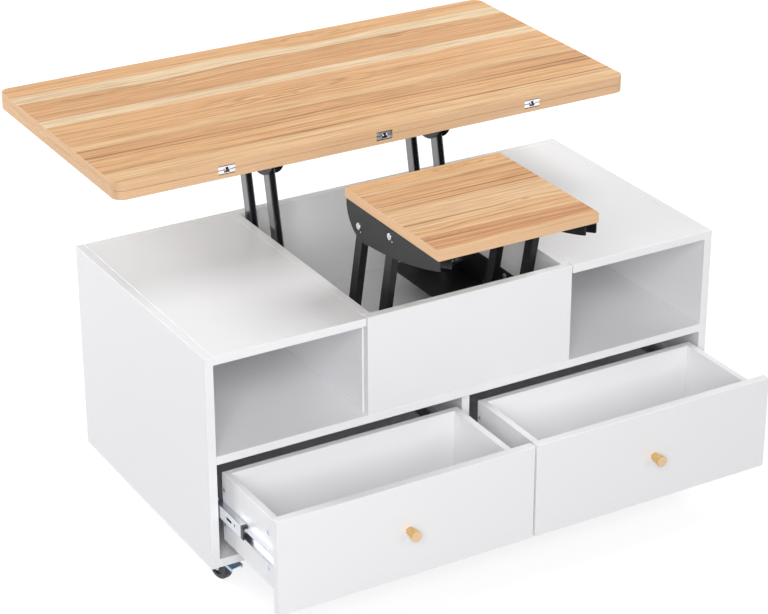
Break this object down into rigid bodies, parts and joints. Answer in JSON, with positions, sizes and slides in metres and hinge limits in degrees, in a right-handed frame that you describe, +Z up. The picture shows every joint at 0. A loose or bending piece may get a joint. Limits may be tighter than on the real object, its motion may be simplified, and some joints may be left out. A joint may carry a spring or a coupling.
{
  "type": "convertible coffee dining table",
  "caption": "Low cabinet table on casters with a folding lift top, a small lift platform, open cubbies and drawers on full extension slides.",
  "frame": {"origin": "on the floor, under the middle of the stored pose's bounding box", "axes": "+X to the right when facing the drawers, +Y to the back, +Z up"},
  "size_m": [1, 1.0112, 0.6332],
  "materials": {
    "white_melamine": "satin",
    "oak_laminate": "satin",
    "turned_beech": "satin",
    "black_steel": "satin",
    "zinc_steel": "satin",
    "hinge_chrome": "polished",
    "wheel_nylon": "matte"
  },
  "bodies": {
    "cabinet": {"side_panel_left": "white_melamine", "side_panel_right": "white_melamine", "bottom_panel": "white_melamine", "shelf_panel": "white_melamine", "back_panel": "white_melamine", "partition_left": "white_melamine", "partition_right": "white_melamine", "fixed_top_left": "white_melamine", "fixed_top_right": "white_melamine", "well_front_panel": "white_melamine", "drawer_divider": "white_melamine", "slide_cabinet_rails": "zinc_steel", "lift_base_angles": "black_steel", "lift_base_screws": "zinc_steel", "platform_foot_brackets": "black_steel", "lift_foot_bolts": "zinc_steel", "caster_plates": "zinc_steel"},
    "top_front_arms": {"top_front_arms": "black_steel"},
    "top_rear_arms": {"top_rear_arms": "black_steel"},
    "top_carriage": {"top_lower_board": "oak_laminate", "top_brackets": "black_steel", "top_bracket_bolts": "zinc_steel", "hinge_lower_cups": "hinge_chrome", "hinge_knuckles": "hinge_chrome"},
    "flip_leaf": {"top_flip_leaf": "oak_laminate", "hinge_upper_cups": "hinge_chrome"},
    "platform_rear_arms": {"platform_rear_arms": "black_steel"},
    "platform_front_arms": {"platform_front_arms": "black_steel"},
    "platform_carriage": {"platform_board": "oak_laminate", "platform_brackets": "black_steel", "platform_bracket_bolts": "zinc_steel"},
    "left_drawer": {"left_drawer_front": "white_melamine", "left_drawer_outer_side": "white_melamine", "left_drawer_inner_side": "white_melamine", "left_drawer_back": "white_melamine", "left_drawer_bottom": "white_melamine", "left_drawer_knob": "turned_beech", "left_drawer_fittings": "zinc_steel", "left_drawer_rails": "zinc_steel"},
    "left_slide_middle": {"left_slide_middle_rails": "zinc_steel"},
    "right_drawer": {"right_drawer_front": "white_melamine", "right_drawer_outer_side": "white_melamine", "right_drawer_inner_side": "white_melamine", "right_drawer_back": "white_melamine", "right_drawer_bottom": "white_melamine", "right_drawer_knob": "turned_beech", "right_drawer_fittings": "zinc_steel", "right_drawer_rails": "zinc_steel"},
    "right_slide_middle": {"right_slide_middle_rails": "zinc_steel"},
    "caster_front_left": {"caster_fork_front_left": "zinc_steel"},
    "wheel_front_left": {"caster_wheel_front_left": "wheel_nylon"},
    "caster_front_right": {"caster_fork_front_right": "zinc_steel"},
    "wheel_front_right": {"caster_wheel_front_right": "wheel_nylon"},
    "caster_rear_left": {"caster_fork_rear_left": "zinc_steel"},
    "wheel_rear_left": {"caster_wheel_rear_left": "wheel_nylon"},
    "caster_rear_right": {"caster_fork_rear_right": "zinc_steel"},
    "wheel_rear_right": {"caster_wheel_rear_right": "wheel_nylon"},
    "brake_pedal_left": {"brake_pedal_left": "zinc_steel"},
    "brake_pedal_right": {"brake_pedal_right": "zinc_steel"}
  },
  "joints": [
    {"name": "top_lift", "type": "hinge", "parent": "cabinet", "child": "top_front_arms", "pos_m": [0, 0.0628, 0.31931], "axis": [1, 0, 0], "range_deg": [0, 82]},
    {"name": "top_rear_arm_swing", "type": "hinge", "parent": "cabinet", "child": "top_rear_arms", "pos_m": [0, 0.1628, 0.33931], "axis": [1, 0, 0], "range_deg": [0, 82]},
    {"name": "top_levelling", "type": "hinge", "parent": "top_front_arms", "child": "top_carriage", "pos_m": [0, 0.1152, 0.5658], "axis": [1, 0, 0], "range_deg": [-82, 0]},
    {"name": "leaf_flip", "type": "hinge", "parent": "top_carriage", "child": "flip_leaf", "pos_m": [0, 0.0054, 0.618], "axis": [1, 0, 0], "range_deg": [0, 180]},
    {"name": "platform_rear_arm_swing", "type": "hinge", "parent": "cabinet", "child": "platform_rear_arms", "pos_m": [0, -0.1123, 0.30031], "axis": [1, 0, 0], "range_deg": [-82, 0]},
    {"name": "platform_front_arm_swing", "type": "hinge", "parent": "cabinet", "child": "platform_front_arms", "pos_m": [0, -0.2123, 0.32031], "axis": [1, 0, 0], "range_deg": [-82, 0]},
    {"name": "platform_levelling", "type": "hinge", "parent": "platform_rear_arms", "child": "platform_carriage", "pos_m": [0, -0.16469, 0.5468], "axis": [1, 0, 0], "range_deg": [0, 82]},
    {"name": "left_drawer_slide", "type": "slide", "parent": "cabinet", "child": "left_drawer", "axis": [0, -1, 0], "range_m": [-0.2, 0]},
    {"name": "left_slide_middle_travel", "type": "slide", "parent": "cabinet", "child": "left_slide_middle", "axis": [0, -1, 0], "range_m": [-0.1, 0]},
    {"name": "right_drawer_slide", "type": "slide", "parent": "cabinet", "child": "right_drawer", "axis": [0, -1, 0], "range_m": [-0.2, 0]},
    {"name": "right_slide_middle_travel", "type": "slide", "parent": "cabinet", "child": "right_slide_middle", "axis": [0, -1, 0], "range_m": [-0.1, 0]},
    {"name": "caster_swivel_front_left", "type": "hinge", "parent": "cabinet", "child": "caster_front_left", "pos_m": [-0.449, -0.2006, 0.06], "axis": [0, 0, 1], "continuous": true},
    {"name": "wheel_spin_front_left", "type": "hinge", "parent": "caster_front_left", "child": "wheel_front_left", "pos_m": [-0.44518, -0.22023, 0.025], "axis": [0.9816, 0.1908, 0], "continuous": true},
    {"name": "brake_pedal_press_left", "type": "hinge", "parent": "caster_front_left", "child": "brake_pedal_left", "pos_m": [-0.44614, -0.21532, 0.0475], "axis": [-0.9816, -0.1908, 0], "range_deg": [0, 14]},
    {"name": "caster_swivel_front_right", "type": "hinge", "parent": "cabinet", "child": "caster_front_right", "pos_m": [0.449, -0.2006, 0.06], "axis": [0, 0, 1], "continuous": true},
    {"name": "wheel_spin_front_right", "type": "hinge", "parent": "caster_front_right", "child": "wheel_front_right", "pos_m": [0.44518, -0.22023, 0.025], "axis": [0.9816, -0.1908, 0], "continuous": true},
    {"name": "brake_pedal_press_right", "type": "hinge", "parent": "caster_front_right", "child": "brake_pedal_right", "pos_m": [0.44614, -0.21532, 0.0475], "axis": [-0.9816, 0.1908, 0], "range_deg": [0, 14]},
    {"name": "caster_swivel_rear_left", "type": "hinge", "parent": "cabinet", "child": "caster_rear_left", "pos_m": [-0.449, 0.1334, 0.06], "axis": [0, 0, 1], "continuous": true},
    {"name": "wheel_spin_rear_left", "type": "hinge", "parent": "caster_rear_left", "child": "wheel_rear_left", "pos_m": [-0.429, 0.1334, 0.025], "axis": [0, 1, 0], "continuous": true},
    {"name": "caster_swivel_rear_right", "type": "hinge", "parent": "cabinet", "child": "caster_rear_right", "pos_m": [0.449, 0.1334, 0.06], "axis": [0, 0, 1], "continuous": true},
    {"name": "wheel_spin_rear_right", "type": "hinge", "parent": "caster_rear_right", "child": "wheel_rear_right", "pos_m": [0.429, 0.1334, 0.025], "axis": [0, -1, 0], "continuous": true}
  ],
  "couplings": [
    {"joint": "top_rear_arm_swing", "follows": "top_lift", "ratio": 1},
    {"joint": "top_levelling", "follows": "top_lift", "ratio": -1},
    {"joint": "platform_rear_arm_swing", "follows": "top_lift", "ratio": -1},
    {"joint": "platform_front_arm_swing", "follows": "top_lift", "ratio": -1},
    {"joint": "platform_levelling", "follows": "top_lift", "ratio": 1},
    {"joint": "left_slide_middle_travel", "follows": "left_drawer_slide", "ratio": 0.5},
    {"joint": "right_slide_middle_travel", "follows": "right_drawer_slide", "ratio": 0.5}
  ]
}
